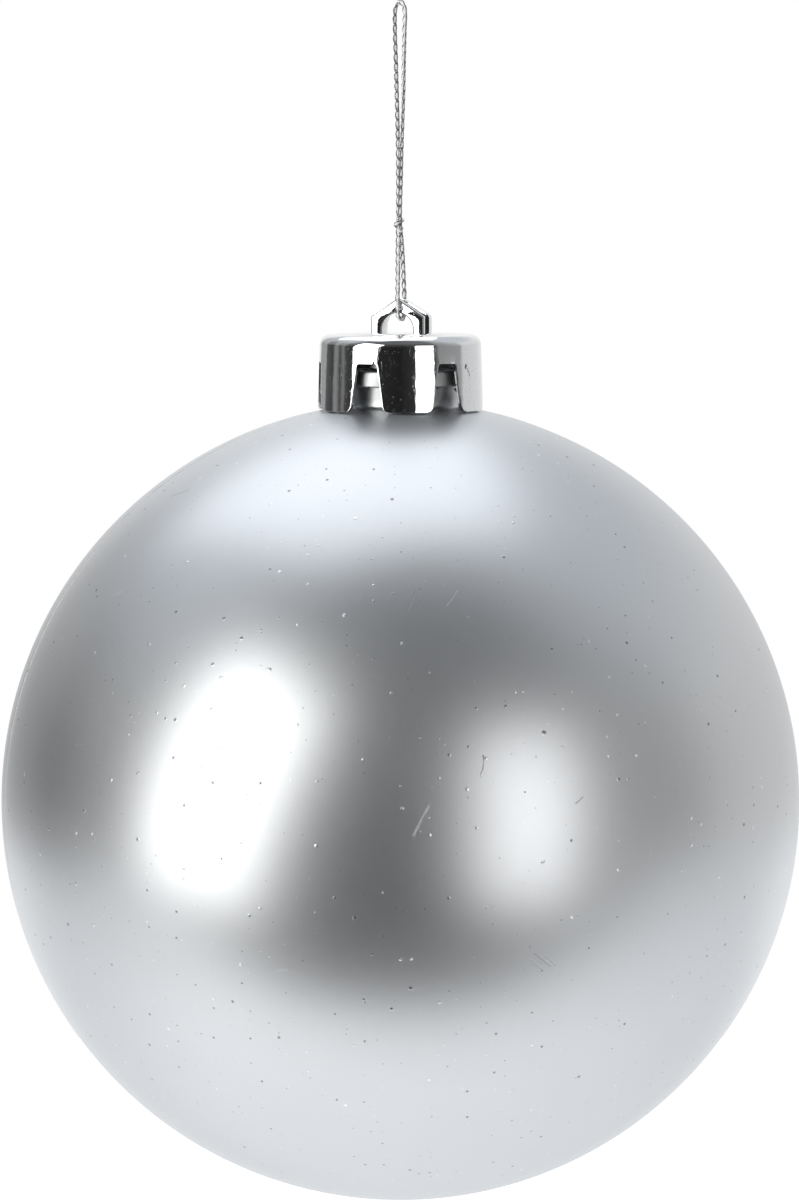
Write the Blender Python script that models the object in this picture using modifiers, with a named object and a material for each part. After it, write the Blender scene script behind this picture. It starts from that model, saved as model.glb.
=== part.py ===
"""Hanging ball ornament: a hollow plastic ball of two welded half shells, a push-on cap with six
spring tabs and a moulded eye, and a thin cord that is tied into a loop through the eye.

Metres, +Z up. The origin is the point where a hook carries the loop, so the ornament hangs below it.
The ball's axis is the Z axis. Azimuths are measured about Z from -Y (the front) towards +X.
"""

import math

import bmesh
import bpy
from mathutils import Vector

# ---------------------------------------------------------------- driving dimensions

# Ball: two half shells with a neck, a snap ring and a lap joint along one meridian
BALL_RADIUS = 0.075
BALL_WALL = 0.0014
NECK_RADIUS = 0.0110
NECK_FOOT_FILLET = 0.0008
NECK_RIM_ROUND = 0.0004
LOWER_NECK_HEIGHT = 0.0041
RING_HEIGHT = 0.0033
UPPER_NECK_HEIGHT = 0.0047
RING_PROUD = 0.00195
RING_ROUND = 0.0010
SEAM_TURN = math.radians(10)
LAP_LENGTH = 0.0010

# Cap: round cup with six slots, so that its tabs spring over the neck's ring
CAP_TOP_THICKNESS = 0.0012
CAP_WALL = 0.00105
CAP_EDGE_ROUND = 0.0020
CAP_INSIDE_ROUND = 0.0009
CAP_FLARE = 0.00042
CAP_RING_GAP = 0.00115
HOOK_BITE = 0.0010
HOOK_TIP = 0.0004
HOOK_RAMP = 0.0026
HOOK_WIDTH = 0.0040
TAB_COUNT = 6
SLOT_TURN = math.radians(-24.5)
SLOT_DROP = 0.0051
SLOT_TOP_WIDTH = 0.00415
SLOT_FOOT_WIDTH = 0.0063
SLOT_ROUND = 0.0004
TAB_CORNER = 0.0015

# Eye: an upright gabled plate on the cap, in a front layer and a slightly larger rear layer
EYE_TURN = math.radians(-17)
EYE_THICKNESS = 0.0039
EYE_HALF_WIDTH = 0.00515
EYE_HEIGHT = 0.00675
EYE_EAVES = 0.0034
EYE_REAR_EXTRA = 0.0005
EYE_REAR_RISE = 0.0002
EYE_REAR_CORNER = 0.0012
EYE_ROOT = 0.0008
EYE_HOLE_RADIUS = 0.0031
EYE_HOLE_TOP = 0.00405
EYE_HOLE_FLARE = 0.0006

# Cord: one length, tied with a knot above the eye
CORD_DIAMETER = 0.00095
KNOT_HALF_WIDTH = 0.0011
KNOT_HALF_HEIGHT = 0.0017
KNOT_X = -0.0002
KNOT_Z = -0.0412

# Places and fits
CAP_TOP_Z = -0.06165
GAP = 0.0003

# Roundness of the solids
BALL_STEPS = 48
BALL_RINGS = 24
CAP_STEPS = 60
EDGE_STEPS = 8
HOLE_STEPS = 16
ARC_STEPS = 5
RIM_STEPS = 3
KNOT_SEGMENTS = 14
KNOT_RINGS = 10
CURVE_READINGS = 16
MERGE_DISTANCE = 0.00001

# The cord's route from the knot down through the eye and back, and from the knot up round the loop
CORD_BELOW_KNOT = (
    (-0.00036, -0.00045, -0.0432),
    (-0.00040, -0.00085, -0.0450),
    (-0.00040, -0.00140, -0.0480),
    (-0.00040, -0.00190, -0.0508),
    (-0.00043, -0.00240, -0.0535),
    (-0.00046, -0.00268, -0.0552),
    (-0.00046, -0.00274, -0.0562),
    (-0.00044, -0.00272, -0.0571),
    (-0.00033, -0.00222, -0.05824),
    (0.00000, -0.00112, -0.05868),
    (0.00020, 0.00000, -0.05872),
    (0.00040, 0.00098, -0.05868),
    (0.00070, 0.00214, -0.05824),
    (0.00086, 0.00259, -0.0571),
    (0.00087, 0.00263, -0.0562),
    (0.00086, 0.00258, -0.0552),
    (0.00078, 0.00236, -0.0535),
    (0.00068, 0.00190, -0.0508),
    (0.00056, 0.00140, -0.0480),
    (0.00036, 0.00088, -0.0450),
    (0.00020, 0.00052, -0.0432),
)
CORD_ABOVE_KNOT = (
    (-0.00006, -0.00050, -0.0392),
    (0.00000, -0.00052, -0.0356),
    (0.00013, -0.00062, -0.0300),
    (0.00022, -0.00075, -0.0260),
    (0.00040, -0.00095, -0.0207),
    (0.00060, -0.00122, -0.0150),
    (0.00072, -0.00146, -0.0098),
    (0.00086, -0.00164, -0.0050),
    (0.00094, -0.00173, -0.00152),
    (0.00066, -0.00122, -0.00011),
    (-0.00005, 0.00000, 0.00048),
    (-0.00076, 0.00122, -0.00011),
    (-0.00104, 0.00173, -0.00152),
    (-0.00102, 0.00164, -0.0050),
    (-0.00084, 0.00146, -0.0098),
    (-0.00068, 0.00122, -0.0145),
    (-0.00054, 0.00102, -0.0185),
    (-0.00044, 0.00084, -0.0225),
    (-0.00035, 0.00068, -0.0270),
    (-0.00032, 0.00056, -0.0320),
    (-0.00033, 0.00050, -0.0360),
    (-0.00034, 0.00050, -0.0392),
)
CORD_POINT_EVERY = 2.0 * CORD_DIAMETER

# ---------------------------------------------------------------- sizes that follow from those

RING_RADIUS = NECK_RADIUS + RING_PROUD
CAP_INNER_RADIUS = RING_RADIUS + CAP_RING_GAP
CAP_RADIUS = CAP_INNER_RADIUS + CAP_WALL
CAP_FOOT_RADIUS = CAP_RADIUS + CAP_FLARE
HOOK_RADIUS = RING_RADIUS - HOOK_BITE
NECK_BORE = NECK_RADIUS - BALL_WALL

# Heights above the ball's centre
NECK_FOOT_H = math.sqrt(BALL_RADIUS**2 - NECK_RADIUS**2)
RING_FOOT_H = NECK_FOOT_H + LOWER_NECK_HEIGHT
RING_TOP_H = RING_FOOT_H + RING_HEIGHT
NECK_TOP_H = RING_TOP_H + UPPER_NECK_HEIGHT
CAP_TOP_H = NECK_TOP_H + GAP + CAP_TOP_THICKNESS
CAP_FOOT_H = math.sqrt(BALL_RADIUS**2 - CAP_FOOT_RADIUS**2) + GAP
CAP_HEIGHT = CAP_TOP_H - CAP_FOOT_H

BALL_CENTRE_Z = CAP_TOP_Z - CAP_TOP_H
EYE_BAR_CORD = CORD_BELOW_KNOT[len(CORD_BELOW_KNOT) // 2]

# ---------------------------------------------------------------- helpers


def clear_scene():
    for obj in list(bpy.data.objects):
        bpy.data.objects.remove(obj, do_unlink=True)


def new_collection(name):
    collection = bpy.data.collections.new(name)
    bpy.context.scene.collection.children.link(collection)
    return collection


def new_material(name, colour, metallic, roughness):
    material = bpy.data.materials.new(name)
    material.use_nodes = True
    shader = material.node_tree.nodes["Principled BSDF"]
    shader.inputs["Base Color"].default_value = (*colour, 1.0)
    shader.inputs["Metallic"].default_value = metallic
    shader.inputs["Roughness"].default_value = roughness
    material.diffuse_color = (*colour, 1.0)
    return material


def new_object(name, data, collection, material=None):
    obj = bpy.data.objects.new(name, data)
    collection.objects.link(obj)
    if material:
        data.materials.append(material)
    return obj


def new_pivot(name, place, parent, collection):
    """An empty on a joint's axis, at a place given in the object's frame."""
    pivot = new_object(name, None, collection)
    pivot.parent = parent
    pivot.location = Vector(place) - origin_of(parent)
    return pivot


def origin_of(obj):
    place = Vector((0.0, 0.0, 0.0))
    while obj:
        place += obj.location
        obj = obj.parent
    return place


def hang_on(obj, pivot, place=(0.0, 0.0, 0.0)):
    """Parents a piece to a joint's pivot and keeps its origin at a place in the object's frame."""
    obj.parent = pivot
    obj.location = Vector(place) - origin_of(pivot)


def as_cutter(obj):
    obj.hide_render = True
    obj.display_type = "WIRE"
    return obj


def arc(centre, radius, start_deg, end_deg, steps=ARC_STEPS):
    """Points of an arc about a centre, both ends included."""
    points = []
    for i in range(steps + 1):
        angle = math.radians(start_deg + (end_deg - start_deg) * i / steps)
        across = centre[0] + radius * math.cos(angle)
        up = centre[1] + radius * math.sin(angle)
        points.append((across, up))
    return points


def turned(name, profile, steps, collection, material=None):
    """A solid turned about Z from (radius, height) points that run down its outer side."""
    mesh = bpy.data.meshes.new(name)
    edges = [(i, i + 1) for i in range(len(profile) - 1)]
    mesh.from_pydata([(r, 0.0, z) for r, z in profile], edges, [])
    obj = new_object(name, mesh, collection, material)
    screw = obj.modifiers.new("Turn", "SCREW")
    screw.axis = "Z"
    screw.angle = 2.0 * math.pi
    screw.steps = steps
    screw.render_steps = steps
    screw.use_merge_vertices = True
    screw.merge_threshold = MERGE_DISTANCE
    screw.use_smooth_shade = True
    return obj


def prism(name, outline, depth, collection, material=None):
    """An (x, z) outline made a solid that reaches from y = -depth / 2 to y = depth / 2."""
    mesh = bpy.data.meshes.new(name)
    bm = bmesh.new()
    face = bm.faces.new([bm.verts.new((x, -depth / 2, z)) for x, z in outline])
    pushed = bmesh.ops.extrude_face_region(bm, geom=[face])
    moved = [v for v in pushed["geom"] if isinstance(v, bmesh.types.BMVert)]
    bmesh.ops.translate(bm, verts=moved, vec=(0.0, depth, 0.0))
    bmesh.ops.recalc_face_normals(bm, faces=bm.faces)
    bm.to_mesh(mesh)
    bm.free()
    return new_object(name, mesh, collection, material)


def lofted(name, sections, collection):
    """A solid through (y, outline) sections whose (x, z) outlines have as many points each."""
    mesh = bpy.data.meshes.new(name)
    bm = bmesh.new()
    loops = []
    for y, outline in sections:
        verts = [bm.verts.new((x, y, z)) for x, z in outline]
        ring = [bm.edges.new((verts[i - 1], verts[i])) for i in range(len(verts))]
        loops.append((verts, ring))
    for (_, ring), (_, next_ring) in zip(loops, loops[1:]):
        bmesh.ops.bridge_loops(bm, edges=ring + next_ring)
    bm.faces.new(loops[0][0])
    bm.faces.new(loops[-1][0])
    bmesh.ops.recalc_face_normals(bm, faces=bm.faces)
    bm.to_mesh(mesh)
    bm.free()
    return new_object(name, mesh, collection)


def slab(name, y_from, y_to, collection):
    """A cutter that fills the space between two planes across Y, wider than the ball."""
    reach = 3.0 * BALL_RADIUS
    outline = ((-reach, -reach), (reach, -reach), (reach, reach), (-reach, reach))
    obj = prism(name, outline, y_to - y_from, collection)
    obj.location.y = (y_from + y_to) / 2
    return as_cutter(obj)


def cut(obj, other, operation):
    boolean = obj.modifiers.new(other.name, "BOOLEAN")
    boolean.operation = operation
    boolean.solver = "EXACT"
    boolean.object = other


def smooth_route(points, spacing):
    """The route's points joined by a Catmull-Rom curve, read at an even spacing."""
    knots = [Vector(p) for p in points]
    knots = [2 * knots[0] - knots[1], *knots, 2 * knots[-1] - knots[-2]]
    fine = [knots[1]]
    for a, b, c, d in zip(knots, knots[1:], knots[2:], knots[3:]):
        for i in range(1, CURVE_READINGS + 1):
            t = i / CURVE_READINGS
            straight = 2 * b + (c - a) * t
            curved = (2 * a - 5 * b + 4 * c - d) * t**2 + (3 * b - a - 3 * c + d) * t**3
            fine.append((straight + curved) / 2)
    lengths = [0.0]
    for a, b in zip(fine, fine[1:]):
        lengths.append(lengths[-1] + (b - a).length)
    count = max(2, round(lengths[-1] / spacing))
    read = []
    place = 0
    for i in range(count + 1):
        wanted = lengths[-1] * i / count
        while place < len(fine) - 2 and lengths[place + 1] < wanted:
            place += 1
        share = (wanted - lengths[place]) / (lengths[place + 1] - lengths[place])
        read.append(fine[place].lerp(fine[place + 1], min(1.0, max(0.0, share))))
    return read


# ---------------------------------------------------------------- ball


def sphere_arc(radius, start_deg, end_deg):
    return arc((0.0, 0.0), radius, start_deg, end_deg, BALL_RINGS)


def ball_profile():
    """The wall of the ball and its neck: up the inside, over the rim, down the outside."""
    inner_radius = BALL_RADIUS - BALL_WALL
    mouth = math.degrees(math.acos(NECK_BORE / inner_radius))
    inside = sphere_arc(inner_radius, -90.0, mouth)
    rim_h = NECK_TOP_H - NECK_RIM_ROUND
    rim_in = arc((NECK_BORE + NECK_RIM_ROUND, rim_h), NECK_RIM_ROUND, 180.0, 90.0, RIM_STEPS)
    rim_out = arc((NECK_RADIUS - NECK_RIM_ROUND, rim_h), NECK_RIM_ROUND, 90.0, 0.0, RIM_STEPS)
    ring_top = arc((RING_RADIUS - RING_ROUND, RING_TOP_H - RING_ROUND), RING_ROUND, 90.0, 0.0)
    foot_r = NECK_RADIUS + NECK_FOOT_FILLET
    foot_h = math.sqrt((BALL_RADIUS + NECK_FOOT_FILLET) ** 2 - foot_r**2)
    foot_end = 180.0 + math.degrees(math.atan2(foot_h, foot_r))
    foot = arc((foot_r, foot_h), NECK_FOOT_FILLET, 180.0, foot_end)
    outside = sphere_arc(BALL_RADIUS, foot_end - 180.0, -90.0)
    profile = [(0.0, -inner_radius), *inside[1:], *rim_in, *rim_out]
    profile += [(NECK_RADIUS, RING_TOP_H), *ring_top, (RING_RADIUS, RING_FOOT_H)]
    profile += [(NECK_RADIUS, RING_FOOT_H), *foot, *outside[1:-1], (0.0, -BALL_RADIUS)]
    return profile


def core_profile(offset):
    """The surface halfway through the ball's wall, moved outwards by an offset and carried past the rim."""
    radius = BALL_RADIUS - BALL_WALL / 2 + offset
    neck = NECK_BORE + BALL_WALL / 2 + offset
    top = NECK_TOP_H + BALL_WALL
    shoulder = math.degrees(math.acos(neck / radius))
    return [(0.0, top), (neck, top), *sphere_arc(radius, shoulder, -90.0)[:-1], (0.0, -radius)]


def half_shell(name, pivot, parts, material):
    shell = turned(name, ball_profile(), BALL_STEPS, parts, material)
    hang_on(shell, pivot, (0.0, 0.0, BALL_CENTRE_Z))
    shell.rotation_euler.z = SEAM_TURN + math.pi / BALL_STEPS
    return shell


def lap_core(name, offset, cutters):
    core = as_cutter(turned(name, core_profile(offset), BALL_STEPS, cutters))
    core.rotation_euler.z = math.pi / BALL_STEPS
    return core


def add_half_shells(pivot, parts, cutters, material):
    """Two half shells whose seam runs over the neck: the rear one's inner lip sits inside the front one.

    The cutters are in the seam's own frame, whose XZ plane is the seam.
    """
    seam = new_pivot("seam_plane", (0.0, 0.0, BALL_CENTRE_Z), pivot, cutters)
    seam.rotation_euler.z = SEAM_TURN
    reach = 2.0 * BALL_RADIUS
    lip_end = -LAP_LENGTH
    relief_end = lip_end - GAP

    front_side = slab("front_side", -reach, -GAP / 2, cutters)
    rear_side = slab("rear_side", lip_end, reach, cutters)
    relief = lap_core("front_relief", GAP / 2, cutters)
    relief_band = slab("relief_band", relief_end, LAP_LENGTH, cutters)
    cut(relief, relief_band, "INTERSECT")
    lip = lap_core("rear_lip", -GAP / 2, cutters)
    outside_lip = slab("outside_lip", relief_end - GAP, GAP / 2, cutters)
    cut(outside_lip, lip, "DIFFERENCE")
    for cutter in (front_side, rear_side, relief, relief_band, lip, outside_lip):
        cutter.parent = seam

    front = half_shell("front_half_shell", pivot, parts, material)
    cut(front, front_side, "INTERSECT")
    cut(front, relief, "DIFFERENCE")
    rear = half_shell("rear_half_shell", pivot, parts, material)
    cut(rear, rear_side, "INTERSECT")
    cut(rear, outside_lip, "DIFFERENCE")


# ---------------------------------------------------------------- cap


def cap_profile():
    """Top, rounded edge, flared skirt and the underside of the top."""
    foot = -CAP_HEIGHT
    edge = arc((CAP_RADIUS - CAP_EDGE_ROUND, -CAP_EDGE_ROUND), CAP_EDGE_ROUND, 90.0, 0.0, EDGE_STEPS)
    skirt = [(CAP_FOOT_RADIUS, foot), (CAP_FOOT_RADIUS - CAP_WALL, foot)]
    inside = arc(
        (CAP_INNER_RADIUS - CAP_INSIDE_ROUND, -CAP_TOP_THICKNESS - CAP_INSIDE_ROUND),
        CAP_INSIDE_ROUND,
        0.0,
        90.0,
    )
    return [(0.0, 0.0), *edge, *skirt, *inside, (0.0, -CAP_TOP_THICKNESS)]


def hook_outline():
    """A snap hook's (radius, height) side view: flat where it catches the ring, ramped below."""
    top = RING_FOOT_H - GAP - CAP_TOP_H
    root = CAP_FOOT_RADIUS - CAP_WALL / 2
    ramp_foot = top - HOOK_TIP - HOOK_RAMP
    return ((root, top), (root, ramp_foot), (HOOK_RADIUS, top - HOOK_TIP), (HOOK_RADIUS, top))


def slot_outline():
    """A slot between two tabs, from its rounded top past the tabs' rounded lower corners."""
    foot = -CAP_HEIGHT
    top = -SLOT_DROP
    half_top = SLOT_TOP_WIDTH / 2
    half_foot = SLOT_FOOT_WIDTH / 2
    right = arc((half_top - SLOT_ROUND, top - SLOT_ROUND), SLOT_ROUND, 90.0, 0.0, RIM_STEPS)
    right += arc((half_foot + TAB_CORNER, foot + TAB_CORNER), TAB_CORNER, 180.0, 270.0)
    right.append((half_foot + TAB_CORNER, foot - TAB_CORNER))
    left = [(-x, z) for x, z in reversed(right)]
    return right + left


def gable_outline(half_width, eaves, height, corner):
    """Upright walls, rounded eaves and two roof slopes that meet over the middle."""
    slope = math.degrees(math.atan2(height - eaves, half_width))
    outline = [(half_width, -EYE_ROOT)]
    if corner:
        drop = corner * math.tan(math.radians((90.0 - slope) / 2))
        outline += arc((half_width - corner, eaves - drop), corner, 0.0, 90.0 - slope)
    else:
        outline.append((half_width, eaves))
    outline.append((0.0, height))
    outline += [(-x, z) for x, z in reversed(outline[:-1])]
    return outline


def hole_outline(extra):
    """An arch that is open below, widened all round by an extra amount."""
    spring = EYE_HOLE_TOP - EYE_HOLE_RADIUS
    radius = EYE_HOLE_RADIUS + extra
    foot = -2.0 * EYE_ROOT
    return [(radius, foot), *arc((0.0, spring), radius, 0.0, 180.0, HOLE_STEPS), (-radius, foot)]


def cap_hooks(cap_frame, cutters):
    """One snap hook in the middle of each tab's inner side."""
    hooks = []
    for i in range(TAB_COUNT):
        turn = SLOT_TURN + 2.0 * math.pi * (i + 0.5) / TAB_COUNT
        hook = as_cutter(prism(f"hook_{i + 1}", hook_outline(), HOOK_WIDTH, cutters))
        hook.parent = cap_frame
        hook.rotation_euler.z = turn - math.pi / 2
        hooks.append(hook)
    return hooks


def cap_slots(cap_frame, cutters):
    """The cutters between the tabs, spaced evenly round the cap."""
    depth = 2.0 * (CAP_FOOT_RADIUS - HOOK_RADIUS) + 2.0 * GAP
    centre = (HOOK_RADIUS + CAP_FOOT_RADIUS) / 2
    slots = []
    for i in range(TAB_COUNT):
        turn = SLOT_TURN + 2.0 * math.pi * i / TAB_COUNT
        slot = as_cutter(prism(f"slot_{i + 1}", slot_outline(), depth, cutters))
        slot.parent = cap_frame
        slot.rotation_euler.z = turn
        slot.location = (centre * math.sin(turn), -centre * math.cos(turn), 0.0)
        slots.append(slot)
    return slots


def eye_plate(pivot, cutters):
    """The upright plate with its arched hole, whose rims are flared where the cord bends over them."""
    layer = EYE_THICKNESS / 2
    overlap = layer / 2
    rear_half_width = EYE_HALF_WIDTH + EYE_REAR_EXTRA
    rear_eaves = EYE_EAVES + EYE_REAR_RISE
    rear_height = EYE_HEIGHT + EYE_REAR_RISE
    front_outline = gable_outline(EYE_HALF_WIDTH, EYE_EAVES, EYE_HEIGHT, 0.0)
    rear_outline = gable_outline(rear_half_width, rear_eaves, rear_height, EYE_REAR_CORNER)
    eye = as_cutter(prism("eye_front_layer", front_outline, layer + overlap, cutters))
    rear_layer = as_cutter(prism("eye_rear_layer", rear_outline, layer, cutters))
    flare = EYE_HOLE_FLARE
    face = layer + GAP
    hole = as_cutter(
        lofted(
            "eye_hole",
            (
                (-face, hole_outline(flare + GAP)),
                (-layer + flare, hole_outline(0.0)),
                (layer - flare, hole_outline(0.0)),
                (face, hole_outline(flare + GAP)),
            ),
            cutters,
        )
    )
    eye_frame = new_pivot("eye_frame", (0.0, 0.0, CAP_TOP_Z), pivot, cutters)
    eye_frame.rotation_euler.z = EYE_TURN
    for cutter in (eye, rear_layer, hole):
        cutter.parent = eye_frame
    eye.location.y = -(layer - overlap) / 2
    rear_layer.location.y = layer / 2
    cut(eye, rear_layer, "UNION")
    cut(eye, hole, "DIFFERENCE")
    return eye


def add_cap(pivot, parts, cutters, material):
    cap = turned("cap", cap_profile(), CAP_STEPS, parts, material)
    hang_on(cap, pivot, (0.0, 0.0, CAP_TOP_Z))
    cap_frame = new_pivot("cap_frame", (0.0, 0.0, CAP_TOP_Z), pivot, cutters)
    for slot in cap_slots(cap_frame, cutters):
        cut(cap, slot, "DIFFERENCE")
    for hook in cap_hooks(cap_frame, cutters):
        cut(cap, hook, "UNION")
    cut(cap, eye_plate(pivot, cutters), "UNION")


# ---------------------------------------------------------------- cord


def add_cord(name, points, pivot, parts, material):
    curve = bpy.data.curves.new(name, "CURVE")
    curve.dimensions = "3D"
    curve.bevel_depth = CORD_DIAMETER / 2
    curve.bevel_resolution = 2
    curve.use_fill_caps = True
    spline = curve.splines.new("POLY")
    route = smooth_route(points, CORD_POINT_EVERY)
    spline.points.add(len(route) - 1)
    for point, place in zip(spline.points, route):
        point.co = (*place, 1.0)
    cord = new_object(name, curve, parts, material)
    hang_on(cord, pivot)


def add_knot(pivot, parts, material):
    mesh = bpy.data.meshes.new("cord_knot")
    bm = bmesh.new()
    bmesh.ops.create_uvsphere(bm, u_segments=KNOT_SEGMENTS, v_segments=KNOT_RINGS, radius=1.0)
    bmesh.ops.scale(bm, verts=bm.verts, vec=(KNOT_HALF_WIDTH, KNOT_HALF_WIDTH, KNOT_HALF_HEIGHT))
    bm.to_mesh(mesh)
    bm.free()
    mesh.shade_smooth()
    knot = new_object("cord_knot", mesh, parts, material)
    hang_on(knot, pivot, (KNOT_X, 0.0, KNOT_Z))


# ---------------------------------------------------------------- the whole ornament


def main():
    clear_scene()
    parts = new_collection("ball_ornament")
    cutters = new_collection("cutters")

    lacquer = new_material("silver_lacquer", (0.60, 0.62, 0.64), 0.85, 0.45)
    chrome = new_material("chrome_plating", (0.86, 0.87, 0.88), 1.0, 0.06)
    lurex = new_material("silver_lurex", (0.72, 0.72, 0.71), 0.6, 0.4)

    hanging_point = new_pivot("hanging_point", (0.0, 0.0, 0.0), None, parts)
    knot_pivot = new_pivot("knot_pivot", (KNOT_X, 0.0, KNOT_Z), hanging_point, parts)
    eye_pivot = new_pivot("eye_pivot", EYE_BAR_CORD, knot_pivot, parts)
    neck_pivot = new_pivot("neck_pivot", (0.0, 0.0, CAP_TOP_Z), eye_pivot, parts)

    add_cord("cord_above_knot", CORD_ABOVE_KNOT, hanging_point, parts, lurex)
    add_knot(hanging_point, parts, lurex)
    add_cord("cord_below_knot", CORD_BELOW_KNOT, knot_pivot, parts, lurex)
    add_cap(eye_pivot, parts, cutters, chrome)
    add_half_shells(neck_pivot, parts, cutters, lacquer)


main()
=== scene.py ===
"""Hanging ball ornament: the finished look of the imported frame.

A satin silver ball of two welded halves, a push-on cap in mirror plating with six spring tabs and a
moulded eye, and a chain-stitched metallic cord that is knotted into a loop through the eye.

Metres, +Z up, in the frame's own coordinates. Azimuths are measured about Z from -Y (the front)
towards +X.
"""

import math

import bmesh
import bpy
from mathutils import Matrix, Vector


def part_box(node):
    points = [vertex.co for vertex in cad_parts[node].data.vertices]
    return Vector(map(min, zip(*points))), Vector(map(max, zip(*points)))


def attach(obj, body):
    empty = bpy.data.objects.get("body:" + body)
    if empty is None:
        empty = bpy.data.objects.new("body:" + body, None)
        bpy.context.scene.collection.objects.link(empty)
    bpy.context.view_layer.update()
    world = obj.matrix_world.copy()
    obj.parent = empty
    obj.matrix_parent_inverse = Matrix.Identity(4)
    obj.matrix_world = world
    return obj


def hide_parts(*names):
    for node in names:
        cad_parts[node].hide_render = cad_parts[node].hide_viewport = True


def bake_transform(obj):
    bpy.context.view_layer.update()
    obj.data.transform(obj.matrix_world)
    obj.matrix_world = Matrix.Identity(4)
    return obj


bl_info = {
    "name": "Ball Ornament",
    "version": (1, 0, 0),
    "blender": (4, 5, 0),
    "location": "3D View > Sidebar > Ornament",
    "description": "Builds a hanging ball ornament with its cap, eye, knotted cord and studio",
    "category": "Add Mesh",
}

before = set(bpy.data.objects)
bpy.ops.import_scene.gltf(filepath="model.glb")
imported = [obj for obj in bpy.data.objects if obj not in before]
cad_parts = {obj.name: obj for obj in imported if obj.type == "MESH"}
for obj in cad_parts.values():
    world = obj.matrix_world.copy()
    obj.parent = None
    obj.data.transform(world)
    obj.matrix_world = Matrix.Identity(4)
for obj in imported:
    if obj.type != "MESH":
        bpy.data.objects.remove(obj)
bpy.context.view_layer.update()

# ---------------------------------------------------------------- places read from the frame

BALL_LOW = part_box("front_half_shell")[0]
CAP_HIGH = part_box("cap")[1]
KNOT_LOW, KNOT_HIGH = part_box("cord_knot")
KNOT_CENTRE = (KNOT_LOW + KNOT_HIGH) / 2

# ---------------------------------------------------------------- sizes of the moulded parts

BALL_RADIUS = 0.075
NECK_RADIUS = 0.0110
NECK_FOOT_FILLET = 0.0008
NECK_RIM_ROUND = 0.0004
LOWER_NECK_HEIGHT = 0.0041
RING_HEIGHT = 0.0033
UPPER_NECK_HEIGHT = 0.0047
RING_RADIUS = 0.01295
RING_TOP_ROUND = 0.0010
RING_FOOT_ROUND = 0.00025
SEAM_TURN = math.radians(10)

CAP_INSIDE_ROUND = 0.0009
TAB_COUNT = 6
SLOT_TURN = math.radians(-24.5)
SLOT_DROP = 0.0051
SLOT_FOOT_WIDTH = 0.0063
SLOT_ROUND = 0.0004
TAB_CORNER = 0.0015
HOOK_RADIUS = 0.01195
HOOK_TIP = 0.0004
HOOK_RAMP = 0.0026
HOOK_WIDTH = 0.0040

EYE_TURN = math.radians(-18.0)
EYE_HALF_WIDTH = 0.00515
EYE_HEIGHT = 0.00675
EYE_EAVES = 0.0034
EYE_CORNER = 0.00025
EYE_REAR_EXTRA = 0.0005
EYE_REAR_RISE = 0.0002
EYE_REAR_CORNER = 0.0012
EYE_ROOT = 0.0004
TOP_STEP = 0.00012
EYE_HOLE_RADIUS = 0.0031
EYE_HOLE_TOP = 0.00405

GAP = 0.0003
SEAM_GAP = 0.00002

BALL_CENTRE = Vector((0.0, 0.0, BALL_LOW.z + BALL_RADIUS))
CAP_TOP = Vector((0.0, 0.0, CAP_HIGH.z - EYE_HEIGHT - EYE_REAR_RISE))

# ---------------------------------------------------------------- how finely the pieces are divided

BALL_ARC_STEPS = 110
BALL_INNER_STEPS = 40
BALL_TURN_STEPS = 120
SLOT_COLUMNS = 18
TAB_COLUMNS = 51
SKIRT_ROWS = 10
CORNER_ROWS = 7
ROUND_STEPS = 6
EDGE_STEPS = 14
MERGE = 1e-7

# ---------------------------------------------------------------- the cord's route

CORD_BELOW_KNOT = (
    (-0.00036, -0.00045, -0.0432),
    (-0.00040, -0.00085, -0.0450),
    (-0.00040, -0.00140, -0.0480),
    (-0.00040, -0.00190, -0.0508),
    (-0.00043, -0.00240, -0.0535),
    (-0.00046, -0.00268, -0.0552),
    (-0.00046, -0.00274, -0.0562),
    (-0.00044, -0.00272, -0.0571),
    (-0.00033, -0.00222, -0.05824),
    (0.00000, -0.00112, -0.05868),
    (0.00020, 0.00000, -0.05872),
    (0.00040, 0.00098, -0.05868),
    (0.00070, 0.00214, -0.05824),
    (0.00086, 0.00259, -0.0571),
    (0.00087, 0.00263, -0.0562),
    (0.00086, 0.00258, -0.0552),
    (0.00078, 0.00236, -0.0535),
    (0.00068, 0.00190, -0.0508),
    (0.00056, 0.00140, -0.0480),
    (0.00036, 0.00088, -0.0450),
    (0.00020, 0.00052, -0.0432),
)
CORD_ABOVE_KNOT = (
    (-0.00006, -0.00050, -0.0392),
    (0.00000, -0.00052, -0.0356),
    (0.00013, -0.00062, -0.0300),
    (0.00022, -0.00075, -0.0260),
    (0.00040, -0.00095, -0.0207),
    (0.00060, -0.00122, -0.0150),
    (0.00072, -0.00146, -0.0098),
    (0.00086, -0.00164, -0.0050),
    (0.00094, -0.00173, -0.00152),
    (0.00066, -0.00122, -0.00011),
    (-0.00005, 0.00000, 0.00048),
    (-0.00076, 0.00122, -0.00011),
    (-0.00104, 0.00173, -0.00152),
    (-0.00102, 0.00164, -0.0050),
    (-0.00084, 0.00146, -0.0098),
    (-0.00068, 0.00122, -0.0145),
    (-0.00054, 0.00102, -0.0185),
    (-0.00044, 0.00084, -0.0225),
    (-0.00035, 0.00068, -0.0270),
    (-0.00032, 0.00056, -0.0320),
    (-0.00033, 0.00050, -0.0360),
    (-0.00034, 0.00050, -0.0392),
)

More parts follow.
